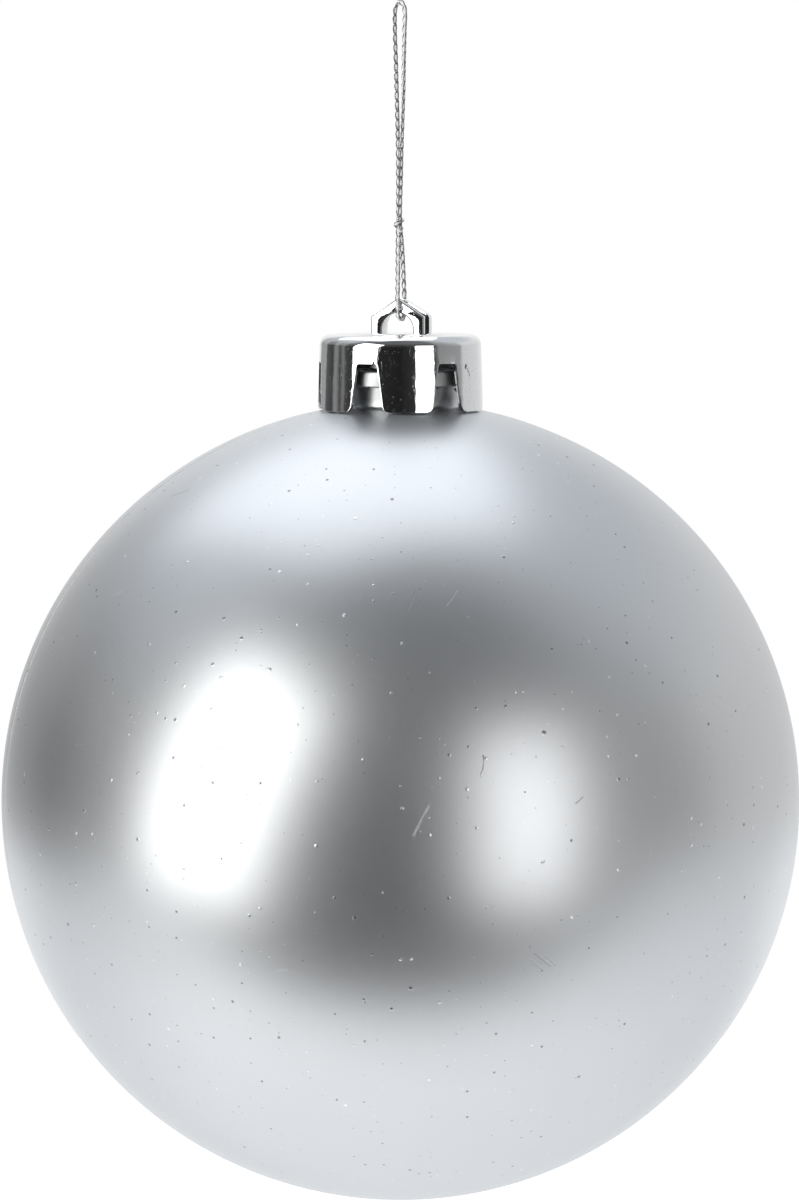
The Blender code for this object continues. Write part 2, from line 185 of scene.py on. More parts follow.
# One chain stitch: (across, out of the front, along in stitches), up its left leg, over its head,
# down its right leg and along its back to the next stitch
STITCH = (
    (-0.04, -0.16, 0.00),
    (-0.12, 0.04, 0.12),
    (-0.26, 0.15, 0.36),
    (-0.31, 0.15, 0.66),
    (-0.22, 0.04, 1.02),
    (-0.06, -0.10, 1.20),
    (0.06, -0.10, 1.20),
    (0.22, 0.04, 1.02),
    (0.31, 0.15, 0.66),
    (0.26, 0.15, 0.36),
    (0.12, 0.04, 0.12),
    (0.04, -0.18, 0.02),
    (0.00, -0.24, 0.50),
)
STITCH_READINGS = 3
YARN_SIDES = 6
BEAD_SIDES = 8

# The foil inside each stitch: (place along the stitch, share of its full width)
FOIL_BEAD = (
    (0.00, 0.36),
    (0.14, 0.40),
    (0.26, 0.78),
    (0.40, 1.00),
    (0.60, 1.00),
    (0.76, 0.80),
    (0.88, 0.42),
)

# ---------------------------------------------------------------- settings


def length_setting(name, description, default):
    return bpy.props.FloatProperty(name=name, description=description, default=default, unit="LENGTH")


def colour_setting(name, description, default):
    return bpy.props.FloatVectorProperty(
        name=name, description=description, default=default, size=3, min=0.0, max=1.0, subtype="COLOR"
    )


class BallSettings(bpy.types.PropertyGroup):
    wall: length_setting("Wall", "Thickness of the ball's wall", 0.0014)
    neck_radius: length_setting("Neck radius", "Outer radius of the neck", NECK_RADIUS)
    seam_lift: length_setting(
        "Seam lift", "How far the rear half sits out of line with the front half", 0.00005
    )
    seam_round: length_setting("Seam rounding", "Rounding of both halves' edges", 0.00006)
    colour: colour_setting("Lacquer", "Colour of the satin lacquer", (0.70, 0.715, 0.73))
    roughness: bpy.props.FloatProperty(
        name="Roughness", description="Roughness of the satin lacquer", default=0.38, min=0.0, max=1.0,
        subtype="FACTOR",
    )


class CapSettings(bpy.types.PropertyGroup):
    radius: length_setting("Radius", "Outer radius under the rounded edge", 0.01515)
    height: length_setting("Height", "From the top to the tabs' feet", 0.01412)
    wall: length_setting("Wall", "Thickness of the skirt", 0.00105)
    top: length_setting("Top thickness", "Thickness of the top", 0.0012)
    edge_round: length_setting("Edge rounding", "Radius of the top's rounded edge", 0.0020)
    flare: length_setting("Flare", "How far the tabs' feet stand out", 0.00042)
    slot_width: length_setting("Slot width", "Width of a slot at its top", 0.00415)
    bevel: length_setting("Edge bevel", "Rounding of the cut edges", 0.00011)
    eye_thickness: length_setting("Eye thickness", "Thickness of the upright eye", 0.0039)
    eye_bevel: length_setting("Eye bevel", "Rounding of the eye's edges", 0.00028)
    colour: colour_setting("Plating", "Colour of the mirror plating", (0.86, 0.87, 0.88))


class CordSettings(bpy.types.PropertyGroup):
    diameter: length_setting("Diameter", "Width of the chain-stitched cord", 0.00103)
    stitch: length_setting("Stitch", "Length of one stitch", 0.00178)
    yarn: length_setting("Yarn", "Thickness of the metallic yarn", 0.00025)
    bead: length_setting("Foil width", "Width of the foil that shows in each stitch", 0.00074)
    turn_every: length_setting("Turn every", "Length in which the cord turns once about itself", 0.16)
    foil: colour_setting("Foil", "Colour of the metallic foil", (0.96, 0.96, 0.95))
    thread: colour_setting("Thread", "Colour of the grey thread round the foil", (0.17, 0.17, 0.17))


class StudioSettings(bpy.types.PropertyGroup):
    floor_drop: length_setting("Floor drop", "From the ball's centre down to the floor", 0.62)
    floor_colour: colour_setting("Floor", "Colour of the floor", (0.88, 0.88, 0.88))
    view_distance: length_setting("View distance", "From the camera to the ornament's axis", 1.5)
    view_height: length_setting("View height", "Height of the camera over the hanging point", -0.0114)


# ---------------------------------------------------------------- mesh helpers


class Section:
    """A wire in the XZ plane: straight runs between (radius, height) points, and arcs spun from its end."""

    def __init__(self, start):
        self.bm = bmesh.new()
        self.last = self.bm.verts.new((start[0], 0.0, start[1]))
        self.corners = []

    def run(self, radius, height, rounded=0.0):
        new = self.bm.verts.new((radius, 0.0, height))
        self.bm.edges.new((self.last, new))
        self.last = new
        if rounded:
            self.corners.append((new, rounded))

    def swing(self, centre, degrees, steps):
        """An arc about a (radius, height) centre, anticlockwise seen from the front."""
        spun = bmesh.ops.spin(
            self.bm,
            geom=[self.last],
            cent=(centre[0], 0.0, centre[1]),
            axis=(0.0, -1.0, 0.0),
            angle=math.radians(degrees),
            steps=steps,
        )
        self.last = next(g for g in spun["geom_last"] if isinstance(g, bmesh.types.BMVert))

    def rounded(self):
        """Rounds the marked corners and gives the finished wire."""
        for vert, radius in self.corners:
            bmesh.ops.bevel(
                self.bm,
                geom=[vert],
                offset=radius,
                offset_type="OFFSET",
                segments=ROUND_STEPS,
                profile=0.5,
                affect="VERTICES",
                material=-1,
            )
        return self.bm


def closed_up(bm):
    """Merges the doubles that a spin leaves on the axis and turns the faces outwards."""
    for vert in bm.verts:
        if abs(vert.co.x) < MERGE and abs(vert.co.y) < MERGE:
            vert.co.x = vert.co.y = 0.0
    bmesh.ops.remove_doubles(bm, verts=bm.verts, dist=MERGE)
    bmesh.ops.dissolve_degenerate(bm, edges=bm.edges, dist=MERGE)
    bmesh.ops.recalc_face_normals(bm, faces=bm.faces)


def rounded_edges(bm, edges, width, segments):
    """Rounds the edges, and marks the new faces so that the materials can find the rounded edges."""
    rounded_edge_mask = bm.faces.layers.float.get("rounded_edge_mask") or bm.faces.layers.float.new("rounded_edge_mask")
    rounded = bmesh.ops.bevel(
        bm,
        geom=edges,
        offset=width,
        offset_type="OFFSET",
        segments=segments,
        profile=0.5,
        affect="EDGES",
        clamp_overlap=True,
        material=-1,
    )
    for face in rounded["faces"]:
        face[rounded_edge_mask] = 1.0


def sharp_edges(bm, degrees):
    limit = math.radians(degrees)
    return [e for e in bm.edges if len(e.link_faces) == 2 and e.calc_face_angle() > limit]


def finished(name, bm, material, sharp_degrees=40.0):
    """The piece's object, at the origin, shaded smooth but for its sharp edges."""
    mesh = bpy.data.meshes.new(name)
    bm.to_mesh(mesh)
    bm.free()
    mesh.materials.append(material)
    mesh.shade_smooth()
    mesh.set_sharp_from_angle(angle=math.radians(sharp_degrees))
    obj = bpy.data.objects.new(name, mesh)
    bpy.context.scene.collection.objects.link(obj)
    return obj


def smooth_route(points, spacing):
    """The points joined by a Catmull-Rom curve, read at an even spacing."""
    knots = [Vector(p) for p in points]
    knots = [2 * knots[0] - knots[1], *knots, 2 * knots[-1] - knots[-2]]
    fine = [knots[1]]
    readings = 16
    for a, b, c, d in zip(knots, knots[1:], knots[2:], knots[3:]):
        for i in range(1, readings + 1):
            t = i / readings
            straight = 2 * b + (c - a) * t
            curved = (2 * a - 5 * b + 4 * c - d) * t**2 + (3 * b - a - 3 * c + d) * t**3
            fine.append((straight + curved) / 2)
    lengths = [0.0]
    for a, b in zip(fine, fine[1:]):
        lengths.append(lengths[-1] + (b - a).length)
    count = max(2, round(lengths[-1] / spacing))
    read = []
    place = 0
    for i in range(count + 1):
        wanted = lengths[-1] * i / count
        while place < len(fine) - 2 and lengths[place + 1] < wanted:
            place += 1
        share = (wanted - lengths[place]) / (lengths[place + 1] - lengths[place])
        read.append(fine[place].lerp(fine[place + 1], min(1.0, max(0.0, share))))
    return read


# ---------------------------------------------------------------- node helpers


class Nodes:
    """A node tree that is written as calls: each gives the new node's first output."""

    def __init__(self, tree):
        self.tree = tree

    def node(self, kind, inputs=(), **settings):
        new = self.tree.nodes.new(kind)
        for name, value in settings.items():
            setattr(new, name, value)
        for socket, value in dict(inputs).items():
            self.put(new.inputs[socket], value)
        return new

    def put(self, socket, value):
        if isinstance(value, bpy.types.NodeSocket):
            self.tree.links.new(value, socket)
        else:
            socket.default_value = value

    def math(self, operation, a, b=0.0, c=0.0, clamp=False):
        return self.node(
            "ShaderNodeMath", {0: a, 1: b, 2: c}, operation=operation, use_clamp=clamp
        ).outputs[0]

    def times(self, a, b):
        return self.math("MULTIPLY", a, b)

    def plus(self, a, b):
        return self.math("ADD", a, b)

    def minus(self, a, b):
        return self.math("SUBTRACT", a, b)

    def vector(self, operation, a, b=(0.0, 0.0, 0.0)):
        new = self.node("ShaderNodeVectorMath", {0: a, 1: b}, operation=operation)
        return new.outputs["Value" if operation in ("LENGTH", "DOT_PRODUCT", "DISTANCE") else "Vector"]

    def noise(self, vector, scale, detail=2.0, roughness=0.5):
        inputs = {"Vector": vector, "Scale": scale, "Detail": detail, "Roughness": roughness}
        return self.node("ShaderNodeTexNoise", inputs).outputs["Fac"]

    def steps(self, value, low, high, to_low=0.0, to_high=1.0):
        """A smooth step from one value to another."""
        inputs = {"Value": value, "From Min": low, "From Max": high, "To Min": to_low, "To Max": to_high}
        return self.node("ShaderNodeMapRange", inputs, interpolation_type="SMOOTHSTEP").outputs[0]

    def colours(self, share, a, b):
        new = self.node("ShaderNodeMix", {"Factor": share}, data_type="RGBA")
        self.put(new.inputs[6], a)
        self.put(new.inputs[7], b)
        return new.outputs[2]


def new_group(name, inputs, outputs):
    """A shader node group: inputs are (name, socket type, default), outputs are (name, socket type)."""
    tree = bpy.data.node_groups.new(name, "ShaderNodeTree")
    for label, kind, default in inputs:
        socket = tree.interface.new_socket(label, in_out="INPUT", socket_type=kind)
        socket.default_value = default
    for label, kind in outputs:
        tree.interface.new_socket(label, in_out="OUTPUT", socket_type=kind)
    nodes = Nodes(tree)
    given = tree.nodes.new("NodeGroupInput")
    result = tree.nodes.new("NodeGroupOutput")
    return nodes, given.outputs, result.inputs


def placed(nodes, name, **values):
    """A group placed in a material with its own values."""
    new = nodes.tree.nodes.new("ShaderNodeGroup")
    new.node_tree = bpy.data.node_groups[name]
    for label, value in values.items():
        nodes.put(new.inputs[label.replace("_", " ").capitalize()], value)
    return new.outputs


VECTOR, FLOAT = "NodeSocketVector", "NodeSocketFloat"


def add_moulding_group():
    """Slow waves of a moulded wall and the fine peel of its coating."""
    nodes, given, result = new_group(
        "Moulding",
        (("Vector", VECTOR, (0, 0, 0)), ("Wave size", FLOAT, 0.02), ("Peel size", FLOAT, 0.001)),
        (("Waves", FLOAT), ("Peel", FLOAT)),
    )
    waves = nodes.noise(given["Vector"], nodes.math("DIVIDE", 1.0, given["Wave size"]), 2.0)
    peel = nodes.noise(given["Vector"], nodes.math("DIVIDE", 1.0, given["Peel size"]), 3.0, 0.6)
    nodes.put(result["Waves"], waves)
    nodes.put(result["Peel"], peel)


def add_specks_group():
    """Dust that dried into the coating: a few small round grains, each of its own size."""
    nodes, given, result = new_group(
        "Specks",
        (
            ("Vector", VECTOR, (0, 0, 0)),
            ("Spacing", FLOAT, 0.004),
            ("Size", FLOAT, 0.0002),
            ("Share", FLOAT, 0.3),
        ),
        (("Mask", FLOAT), ("Height", FLOAT), ("Tone", FLOAT)),
    )
    cells = nodes.node(
        "ShaderNodeTexVoronoi",
        {"Vector": given["Vector"], "Scale": nodes.math("DIVIDE", 1.0, given["Spacing"])},
        feature="F1",
    )
    parts = nodes.node("ShaderNodeSeparateColor", {0: cells.outputs["Color"]}).outputs
    kept = nodes.math("LESS_THAN", parts[0], given["Share"])
    spread = nodes.times(given["Size"], nodes.plus(0.35, parts[1]))
    away = nodes.times(cells.outputs["Distance"], given["Spacing"])
    height = nodes.math("SUBTRACT", 1.0, nodes.math("DIVIDE", away, spread), clamp=True)
    height = nodes.times(height, kept)
    nodes.put(result["Height"], height)
    nodes.put(result["Tone"], parts[2])
    nodes.put(result["Mask"], nodes.steps(height, 0.05, 0.55))


def add_mark_group():
    """One bent scratch: an arc of a circle about its own middle, seen along its own normal."""
    nodes, given, result = new_group(
        "Mark",
        (
            ("Vector", VECTOR, (0, 0, 0)),
            ("Place", VECTOR, (0, 0, 0)),
            ("Along", VECTOR, (1, 0, 0)),
            ("Across", VECTOR, (0, 0, 1)),
            ("Length", FLOAT, 0.004),
            ("Bend", FLOAT, 0.0),
            ("Width", FLOAT, 0.0002),
        ),
        (("Mask", FLOAT),),
    )
    local = nodes.vector("SUBTRACT", given["Vector"], given["Place"])
    along = nodes.vector("DOT_PRODUCT", local, given["Along"])
    across = nodes.vector("DOT_PRODUCT", local, given["Across"])
    near = nodes.math("LESS_THAN", nodes.vector("LENGTH", local), given["Length"])
    share = nodes.math("DIVIDE", along, given["Length"])
    bowed = nodes.times(nodes.times(share, share), given["Bend"])
    wander = nodes.minus(nodes.noise(given["Vector"], 1800.0, 1.0), 0.5)
    bowed = nodes.plus(bowed, nodes.times(wander, nodes.times(given["Width"], 1.5)))
    off = nodes.math("ABSOLUTE", nodes.minus(across, bowed))
    line = nodes.steps(nodes.math("DIVIDE", off, given["Width"]), 0.25, 1.0, 1.0, 0.0)
    ends = nodes.steps(nodes.math("ABSOLUTE", share), 0.42, 0.5, 1.0, 0.0)
    mask = nodes.times(nodes.times(line, ends), near)
    nodes.put(result["Mask"], mask)


def new_material(name):
    """A material with its Principled shader and the piece's own coordinates."""
    material = bpy.data.materials.new(name)
    material.use_nodes = True
    nodes = Nodes(material.node_tree)
    shader = material.node_tree.nodes["Principled BSDF"]
    place = nodes.node("ShaderNodeTexCoord").outputs["Object"]
    return material, nodes, shader.inputs, place


def centred(nodes, place, centre):
    moved = nodes.node("ShaderNodeMapping", {"Vector": place}, vector_type="POINT")
    moved.inputs["Location"].default_value = -Vector(centre)
    return moved.outputs[0]


# Scratches and scuffs on the ball: (azimuth, elevation, turn, length, bend, width, depth).
# The turn is from level, anticlockwise seen from outside, and a light scuff has a negative depth.
BALL_MARKS = (
    (2.0, 34.0, 70.0, 0.0042, 0.0006, 0.00012, 0.6),
    (8.8, 34.5, 55.0, 0.0048, 0.0004, 0.00010, 0.7),
    (11.6, 10.0, 80.0, 0.0040, 0.0016, 0.00014, 1.0),
    (2.8, 2.5, 62.0, 0.0068, -0.0004, 0.00034, -0.7),
    (25.5, 4.8, 35.0, 0.0022, 0.0, 0.00012, 0.8),
    (42.0, 5.0, 75.0, 0.0020, 0.0, 0.00010, 0.8),
    (21.0, -17.6, -38.0, 0.0050, 0.0, 0.00011, 0.9),
    (20.2, -18.4, -38.0, 0.0040, 0.0, 0.00010, 0.7),
    (22.2, -17.8, -40.0, 0.0034, 0.0, 0.00010, 0.6),
    (-56.0, 33.5, 30.0, 0.0030, 0.0004, 0.00030, -0.5),
    (-17.5, -19.0, 12.0, 0.0026, 0.0, 0.00026, -0.5),
    (-62.0, 52.0, 30.0, 0.0052, 0.0002, 0.00014, 0.7),
    (120.0, 18.0, 40.0, 0.0060, 0.0008, 0.00014, 0.8),
    (165.0, -8.0, -30.0, 0.0080, 0.0010, 0.00012, 0.7),
    (-130.0, 30.0, 65.0, 0.0050, 0.0006, 0.00014, 0.8),
    (-155.0, -24.0, 15.0, 0.0044, 0.0, 0.00028, -0.5),
    (85.0, -12.0, -50.0, 0.0050, 0.0, 0.00012, 0.7),
)


def frame_on_ball(azimuth, elevation, turn):
    """A point on the ball about its centre, and the directions along and across a mark there."""
    a, e, t = math.radians(azimuth), math.radians(elevation), math.radians(turn)
    out = Vector((math.sin(a) * math.cos(e), -math.cos(a) * math.cos(e), math.sin(e)))
    level = Vector((math.cos(a), math.sin(a), 0.0))
    up = out.cross(level)
    along = level * math.cos(t) + up * math.sin(t)
    return out * BALL_RADIUS, along, out.cross(along)


def lacquer_material(settings):
    """Satin silver lacquer on moulded plastic, with dried-in dust, faint waves, handling marks and painted
    shade on the neck.
    """
    material, nodes, shader, place = new_material("satin_silver_lacquer")
    place = centred(nodes, place, BALL_CENTRE)
    moulding = placed(nodes, "Moulding", vector=place, wave_size=0.024, peel_size=0.0009)
    dust = placed(nodes, "Specks", vector=place, spacing=0.0017, size=0.00034, share=0.20)
    fine = placed(nodes, "Specks", vector=place, spacing=0.0011, size=0.00019, share=0.22)
    cut, scuff = 0.0, 0.0
    for azimuth, elevation, turn, length, bend, width, depth in BALL_MARKS:
        where, along, across = frame_on_ball(azimuth, elevation, turn)
        mask = placed(
            nodes, "Mark", vector=place, place=where, along=along, across=across,
            length=length, bend=bend, width=width,
        )["Mask"]
        strength = nodes.times(mask, abs(depth))
        if depth > 0:
            cut = nodes.math("MAXIMUM", strength, cut)
        else:
            scuff = nodes.math("MAXIMUM", strength, scuff)

    rounded_edge_mask = nodes.node("ShaderNodeAttribute", attribute_name="rounded_edge_mask").outputs["Fac"]
    height_up = nodes.node("ShaderNodeSeparateXYZ", {0: place}).outputs["Z"]
    # Painted shade: the neck under the cap is darkened from the ball's shoulder up, for the shade it stands
    # in inside the cap.
    neck_painted_shade = nodes.steps(height_up, BALL_RADIUS - 0.0004, BALL_RADIUS + 0.0012)
    across = (math.sin(SEAM_TURN), -math.cos(SEAM_TURN), 0.0)
    aside = nodes.math("ABSOLUTE", nodes.vector("DOT_PRODUCT", place, across))
    weld = nodes.steps(aside, 0.00008, 0.00034, 1.0, 0.0)
    patchy = nodes.steps(nodes.noise(place, 420.0, 3.0), 0.46, 0.62)
    whole = nodes.steps(height_up, 0.058, 0.071)
    weld = nodes.times(weld, nodes.math("MAXIMUM", nodes.times(patchy, 0.6), whole))
    base = (*settings.colour, 1.0)
    darker = (*(0.94 * c for c in settings.colour), 1.0)
    colour = nodes.colours(moulding["Waves"], darker, base)
    colour = nodes.colours(nodes.times(weld, 0.8), colour, (0.97, 0.97, 0.98, 1.0))
    # Painted shade on the neck: its colour is taken towards dark grey.
    colour = nodes.colours(nodes.times(neck_painted_shade, 0.45), colour, (0.30, 0.30, 0.29, 1.0))
    # Wear: the rounded edges are rubbed lighter.
    colour = nodes.colours(nodes.times(rounded_edge_mask, 0.5), colour, (0.93, 0.93, 0.94, 1.0))
    light, dark = (0.97, 0.97, 0.98, 1.0), (0.16, 0.16, 0.17, 1.0)
    for specks, strength in ((dust, 0.75), (fine, 0.55)):
        tone = nodes.colours(nodes.steps(specks["Tone"], 0.42, 0.48), light, dark)
        colour = nodes.colours(nodes.times(specks["Mask"], strength), colour, tone)
    colour = nodes.colours(nodes.times(cut, 0.75), colour, (0.22, 0.22, 0.23, 1.0))
    colour = nodes.colours(nodes.times(scuff, 0.5), colour, (0.93, 0.93, 0.94, 1.0))
    nodes.put(shader["Base Color"], colour)
    shader["Metallic"].default_value = 1.0
    grain = nodes.times(nodes.minus(moulding["Peel"], 0.5), 0.06)
    rough = nodes.plus(settings.roughness, grain)
    rough = nodes.plus(rough, nodes.times(scuff, 0.16))
    nodes.put(shader["Roughness"], rough)

    height = nodes.times(moulding["Peel"], 0.10)
    height = nodes.plus(height, nodes.times(dust["Height"], 1.0))
    height = nodes.plus(height, nodes.times(fine["Height"], 0.3))
    height = nodes.minus(height, nodes.times(cut, 0.5))
    height = nodes.plus(height, nodes.times(weld, 0.9))
    bump = nodes.node("ShaderNodeBump", {"Height": height, "Distance": 0.00009, "Strength": 0.9})
    nodes.put(shader["Normal"], bump.outputs[0])
    return material


# Scratches on the cap: (azimuth, depth below the top, turn, length, width)
CAP_MARKS = (
    (53.0, 0.0057, 80.0, 0.0010, 0.00042),
    (56.0, 0.0068, -62.0, 0.0019, 0.00014),
    (-46.0, 0.0078, 80.0, 0.0034, 0.00012),
    (-58.0, 0.0092, -84.0, 0.0040, 0.00010),
    (150.0, 0.0060, 30.0, 0.0030, 0.00014),
)


def plating_material(settings):
    """Mirror plating on moulded plastic: slow waves, dust, streaks, rounded edges darkened as rubbed
    plating and as painted shade, and a few scratches.
    """
    material, nodes, shader, place = new_material("mirror_plating")
    place = centred(nodes, place, CAP_TOP)
    upright = nodes.vector("MULTIPLY", place, (1.0, 1.0, 0.22))
    moulding = placed(nodes, "Moulding", vector=place, wave_size=0.0050, peel_size=0.0011)
    streaks = nodes.steps(nodes.noise(upright, 2600.0, 3.0, 0.7), 0.52, 0.70)
    dust = placed(nodes, "Specks", vector=place, spacing=0.00055, size=0.00016, share=0.55)
    # Painted shade and wear: the rounded edges are darkened nearly to black in patches, partly as plating
    # rubbed off and partly as painted dark outlines where the edges turn from the light.
    rounded_edge_mask = nodes.node("ShaderNodeAttribute", attribute_name="rounded_edge_mask").outputs["Fac"]
    rounded_edge_mask = nodes.times(rounded_edge_mask, nodes.steps(nodes.noise(place, 900.0, 3.0), 0.10, 0.30))
    scratch = 0.0
    for azimuth, drop, turn, length, width in CAP_MARKS:
        a, t = math.radians(azimuth), math.radians(turn)
        out = Vector((math.sin(a), -math.cos(a), 0.0))
        level = Vector((math.cos(a), math.sin(a), 0.0))
        along = level * math.cos(t) + Vector((0.0, 0.0, math.sin(t)))
        where = out * settings.radius - Vector((0.0, 0.0, drop))
        mask = placed(
            nodes, "Mark", vector=place, place=where, along=along, across=out.cross(along),
            length=length, width=width,
        )["Mask"]
        scratch = nodes.math("MAXIMUM", mask, scratch)
    clouded = nodes.times(streaks, 0.8)
    dusty = nodes.times(dust["Mask"], nodes.steps(nodes.noise(place, 500.0, 2.0), 0.35, 0.65))
    base = (*settings.colour, 1.0)
    colour = nodes.colours(nodes.times(clouded, 0.3), base, (0.60, 0.61, 0.62, 1.0))
    colour = nodes.colours(nodes.times(dusty, 0.7), colour, (0.55, 0.56, 0.58, 1.0))
    # Painted shade and wear on the rounded edges: taken nearly to black.
    colour = nodes.colours(nodes.times(rounded_edge_mask, 0.75), colour, (0.10, 0.10, 0.11, 1.0))
    colour = nodes.colours(nodes.times(scratch, 0.9), colour, (0.05, 0.05, 0.055, 1.0))
    nodes.put(shader["Base Color"], colour)
    nodes.put(shader["Metallic"], nodes.minus(1.0, nodes.times(dusty, 0.30)))
    rough = nodes.plus(0.03, nodes.times(clouded, 0.22))
    rough = nodes.plus(rough, nodes.times(rounded_edge_mask, 0.22))
    rough = nodes.plus(rough, nodes.times(scratch, 0.3))
    nodes.put(shader["Roughness"], rough)
    height = nodes.plus(moulding["Waves"], nodes.times(moulding["Peel"], 0.04))
    height = nodes.minus(height, nodes.times(scratch, 0.2))
    height = nodes.plus(height, nodes.times(dust["Height"], 0.05))
    bump = nodes.node("ShaderNodeBump", {"Height": height, "Distance": 0.00016, "Strength": 0.35})
    nodes.put(shader["Normal"], bump.outputs[0])
    return material


def thread_material(settings):
    """Grey metallic thread: thin foil wound about a darker core, so that glints and grey take turns."""
    material, nodes, shader, place = new_material("metallic_thread")
    along = nodes.node("ShaderNodeAttribute", attribute_name="along_yarn").outputs["Fac"]
    around = nodes.node("ShaderNodeAttribute", attribute_name="around_yarn").outputs["Fac"]
    winding = nodes.plus(nodes.times(along, 1.0 / 0.00034), around)
    bands = nodes.math("PINGPONG", winding, 0.5)
    wound = nodes.steps(bands, 0.10, 0.30)
    grain = nodes.noise(place, 2600.0, 2.0)
    glint = nodes.times(wound, nodes.steps(grain, 0.42, 0.62))
    grey = (*settings.thread, 1.0)
    darker = (*(0.55 * c for c in settings.thread), 1.0)
    colour = nodes.colours(wound, darker, grey)
    colour = nodes.colours(nodes.times(glint, 0.6), colour, (*settings.foil, 1.0))
    nodes.put(shader["Base Color"], colour)
    nodes.put(shader["Metallic"], nodes.times(wound, 0.6))
    shader["Roughness"].default_value = 0.36
    bump = nodes.node("ShaderNodeBump", {"Height": bands, "Distance": 0.00003, "Strength": 0.7})
    nodes.put(shader["Normal"], bump.outputs[0])
    return material


def foil_material(settings):
    """Crinkled foil, bright in its own colour, with a faint glow painted in as its glint though it is no
    lamp.
    """
    material, nodes, shader, place = new_material("glowing_foil")
    crinkle = nodes.noise(place, 2200.0, 2.0)
    bright = (*settings.foil, 1.0)
    dull = (*(0.8 * c for c in settings.foil), 1.0)
    nodes.put(shader["Base Color"], nodes.colours(nodes.steps(crinkle, 0.40, 0.62), dull, bright))
    # Painted glint: the foil glows faintly in its own colour.
    nodes.put(shader["Emission Color"], bright)
    shader["Emission Strength"].default_value = 0.16
    shader["Roughness"].default_value = 0.2
    bump = nodes.node("ShaderNodeBump", {"Height": crinkle, "Distance": 0.00006, "Strength": 0.7})
    nodes.put(shader["Normal"], bump.outputs[0])
    return material


# ---------------------------------------------------------------- ball


def wall_section(settings):
    """The section of the ball's wall: up the inside, over the rim, down the neck and the outside."""
    inner = BALL_RADIUS - settings.wall
    neck = settings.neck_radius
    bore = neck - settings.wall
    neck_foot = math.sqrt(BALL_RADIUS**2 - neck**2)
    ring_foot = neck_foot + LOWER_NECK_HEIGHT
    ring_top = ring_foot + RING_HEIGHT
    rim = ring_top + UPPER_NECK_HEIGHT
    mouth = math.degrees(math.acos(bore / inner))
    fillet_radius = neck + NECK_FOOT_FILLET
    fillet_height = math.sqrt((BALL_RADIUS + NECK_FOOT_FILLET) ** 2 - fillet_radius**2)
    shoulder = math.degrees(math.atan2(fillet_height, fillet_radius))

    section = Section((0.0, -inner))
    section.swing((0.0, 0.0), 90.0 + mouth, BALL_INNER_STEPS)
    section.run(bore, rim, NECK_RIM_ROUND)
    section.run(neck, rim, NECK_RIM_ROUND)
    section.run(neck, ring_top, RING_FOOT_ROUND)
    section.run(RING_RADIUS, ring_top, RING_TOP_ROUND)
    section.run(RING_RADIUS, ring_foot, RING_FOOT_ROUND)
    section.run(neck, ring_foot, RING_FOOT_ROUND)
    section.run(neck, fillet_height)
    section.swing((fillet_radius, fillet_height), shoulder, ROUND_STEPS)
    section.swing((0.0, 0.0), -90.0 - shoulder, BALL_ARC_STEPS)
    return section.rounded()


def half_ball(name, settings, first_azimuth, material):
    """Half of the ball from an azimuth on, its cut face closed and the cut's outer edge rounded."""
    bm = wall_section(settings)
    start = Matrix.Rotation(first_azimuth - math.pi / 2, 4, "Z")
    bmesh.ops.transform(bm, matrix=start, verts=bm.verts)
    bmesh.ops.spin(
        bm,
        geom=bm.verts[:] + bm.edges[:],
        cent=(0.0, 0.0, 0.0),
        axis=(0.0, 0.0, 1.0),
        angle=math.pi,
        steps=BALL_TURN_STEPS,
    )
    closed_up(bm)
    rim = [e for e in bm.edges if e.is_boundary]
    bmesh.ops.holes_fill(bm, edges=rim, sides=0)
    bmesh.ops.recalc_face_normals(bm, faces=bm.faces)
    outer = [
        e
        for e in rim
        if e.is_valid and all(v.co.length > BALL_RADIUS - settings.wall / 2 for v in e.verts)
    ]
    rounded_edges(bm, outer, settings.seam_round, 3)
    into = Matrix.Rotation(first_azimuth, 3, "Z") @ Vector((1.0, 0.0, 0.0))
    bmesh.ops.translate(bm, vec=BALL_CENTRE + into * SEAM_GAP, verts=bm.verts)
    return finished(name, bm, material)


class ORNAMENT_OT_ball(bpy.types.Operator):
    """Build the ball's two halves, with the neck and its catch ring"""

    bl_idname = "ornament.ball"
    bl_label = "Ball"

    def execute(self, context):
        settings = context.scene.ornament_ball
        material = lacquer_material(settings)
        front_start = SEAM_TURN - math.pi / 2
        front = half_ball("ball_front_half", settings, front_start, material)
        rear = half_ball("ball_rear_half", settings, front_start + math.pi, material)
        lift = Vector((-0.15, 0.0, 1.0)) * settings.seam_lift
        rear.data.transform(Matrix.Translation(lift))
        for half, node in ((front, "front_half_shell"), (rear, "rear_half_shell")):
            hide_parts(node)
            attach(half, "ball")
        return {"FINISHED"}


# ---------------------------------------------------------------- cap


